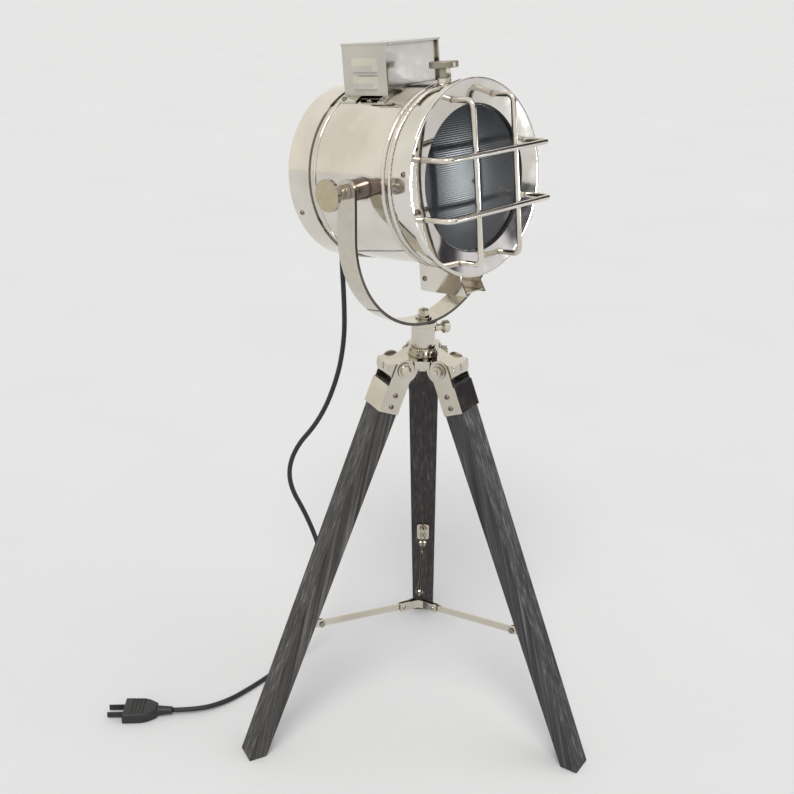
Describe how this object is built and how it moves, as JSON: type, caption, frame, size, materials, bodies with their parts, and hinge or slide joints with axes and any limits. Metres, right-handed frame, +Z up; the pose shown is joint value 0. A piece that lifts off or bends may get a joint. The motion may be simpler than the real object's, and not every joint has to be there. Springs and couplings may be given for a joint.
{
  "type": "tabletop searchlight lamp",
  "caption": "Searchlight table lamp: a drum head with wire guard and vent box tilts in a U yoke that swivels on a folding wooden tripod; cord and plug.",
  "frame": {"origin": "middle of the lamp's outer box, without its cord, on the ground", "axes": "+Z up; at rest the head faces -Y, tipped up by 6.2 degrees; X runs along the tilt axis"},
  "size_m": [0.4199, 0.4281, 0.7171],
  "materials": {
    "nickel": "polished",
    "screws": "polished",
    "lens_glass": "ribbed",
    "bulb_glass": "frosted",
    "reflector": "polished",
    "lamp_holder": "glazed",
    "inner_steel": "plain",
    "gasket": "matt",
    "leg_wood": "stained and worn",
    "cord_cover": "satin",
    "plug_body": "satin"
  },
  "bodies": {
    "head": {"drum_shell": "nickel", "rear_cap": "nickel", "front_bezel": "nickel", "lens_gasket": "gasket", "lens": "lens_glass", "lens_retainer": "inner_steel", "reflector": "reflector", "lamp_socket": "lamp_holder", "bulb": "bulb_glass", "socket_brace": "inner_steel", "guard_rod_left": "nickel", "guard_rod_right": "nickel", "guard_rod_upper": "nickel", "guard_rod_lower": "nickel", "vent_box_body": "nickel", "vent_box_front": "nickel", "vent_box_lid": "nickel", "top_knob_base": "nickel", "lower_tray": "nickel", "trunnion_bosses": "nickel", "cord_gland": "plug_body", "housing_screws": "screws"},
    "top_knob": {"top_knob": "nickel"},
    "tilt_knob_left": {"tilt_knob_left": "nickel"},
    "tilt_knob_right": {"tilt_knob_right": "nickel"},
    "yoke": {"yoke_strap": "nickel", "stem_tube": "nickel", "yoke_washer": "nickel", "yoke_bolt": "nickel", "cord_hang": "cord_cover"},
    "pan_screw": {"pan_screw": "nickel"},
    "stand": {"crown": "nickel", "swivel_post": "nickel", "stem_collar": "nickel", "collar_screws": "screws", "leg_pivot_bolts": "screws", "leg_pivot_nuts": "screws", "cord_drop": "cord_cover", "plug": "plug_body"},
    "leg_back": {"leg_back_wood": "leg_wood", "leg_back_bracket": "nickel", "leg_back_clevis": "nickel", "leg_back_clevis_pin": "screws", "leg_back_screws": "screws"},
    "arm_back": {"arm_back": "nickel"},
    "leg_left": {"leg_left_wood": "leg_wood", "leg_left_bracket": "nickel", "leg_left_clevis": "nickel", "leg_left_clevis_pin": "screws", "leg_left_screws": "screws"},
    "arm_left": {"arm_left": "nickel"},
    "leg_right": {"leg_right_wood": "leg_wood", "leg_right_bracket": "nickel", "leg_right_clevis": "nickel", "leg_right_clevis_pin": "screws", "leg_right_screws": "screws"},
    "arm_right": {"arm_right": "nickel"},
    "hub": {"spreader_hub": "nickel", "hub_rivets": "screws"}
  },
  "joints": [
    {"name": "yoke_pan", "type": "hinge", "parent": "stand", "child": "yoke", "pos_m": [0.01734, 0.02958, 0.43], "axis": [0, 0, 1], "range_deg": [-90, 90], "deforming": ["cord_drop"]},
    {"name": "head_tilt", "type": "hinge", "parent": "yoke", "child": "head", "pos_m": [0.01734, 0.02958, 0.595], "axis": [-1, 0, 0], "range_deg": [-45, 35], "deforming": ["cord_hang"]},
    {"name": "tilt_knob_left_turn", "type": "hinge", "parent": "head", "child": "tilt_knob_left", "pos_m": [-0.08666, 0.02958, 0.595], "axis": [-1, 0, 0], "range_deg": [0, 360]},
    {"name": "tilt_knob_right_turn", "type": "hinge", "parent": "head", "child": "tilt_knob_right", "pos_m": [0.12134, 0.02958, 0.595], "axis": [1, 0, 0], "range_deg": [0, 360]},
    {"name": "top_knob_turn", "type": "hinge", "parent": "head", "child": "top_knob", "pos_m": [0.01734, 0.00897, 0.68676], "axis": [0, 0.108, 0.9942], "range_deg": [0, 360]},
    {"name": "pan_screw_turn", "type": "hinge", "parent": "yoke", "child": "pan_screw", "pos_m": [0.02812, 0.02478, 0.441], "axis": [0.9135, -0.4067, 0], "range_deg": [0, 360]},
    {"name": "leg_fold_back", "type": "hinge", "parent": "stand", "child": "leg_back", "pos_m": [0.03893, 0.04834, 0.4078], "axis": [-0.6561, 0.7547, 0], "range_deg": [0, 13]},
    {"name": "arm_fold_back", "type": "hinge", "parent": "leg_back", "child": "arm_back", "pos_m": [0.10375, 0.10469, 0.13509], "axis": [0.6561, -0.7547, 0], "range_deg": [0, 79.27]},
    {"name": "leg_fold_left", "type": "hinge", "parent": "stand", "child": "leg_left", "pos_m": [-0.0097, 0.03889, 0.4078], "axis": [-0.3256, -0.9455, 0], "range_deg": [0, 13]},
    {"name": "arm_fold_left", "type": "hinge", "parent": "leg_left", "child": "arm_left", "pos_m": [-0.0909, 0.06685, 0.13509], "axis": [0.3256, 0.9455, 0], "range_deg": [0, 79.27]},
    {"name": "leg_fold_right", "type": "hinge", "parent": "stand", "child": "leg_right", "pos_m": [0.0228, 0.0015, 0.4078], "axis": [0.9816, 0.1908, 0], "range_deg": [0, 13]},
    {"name": "arm_fold_right", "type": "hinge", "parent": "leg_right", "child": "arm_right", "pos_m": [0.03919, -0.0828, 0.13509], "axis": [-0.9816, -0.1908, 0], "range_deg": [0, 79.27]},
    {"name": "hub_slide", "type": "slide", "parent": "stand", "child": "hub", "axis": [0, 0, 1], "range_m": [-0.0956, 0]}
  ],
  "couplings": [
    {"joint": "arm_fold_back", "follows": "leg_fold_back", "ratio": 6.0972},
    {"joint": "leg_fold_left", "follows": "leg_fold_back", "ratio": 1},
    {"joint": "arm_fold_left", "follows": "leg_fold_back", "ratio": 6.0972},
    {"joint": "leg_fold_right", "follows": "leg_fold_back", "ratio": 1},
    {"joint": "arm_fold_right", "follows": "leg_fold_back", "ratio": 6.0972},
    {"joint": "hub_slide", "follows": "leg_fold_back", "m_per_rad": -0.42087}
  ]
}
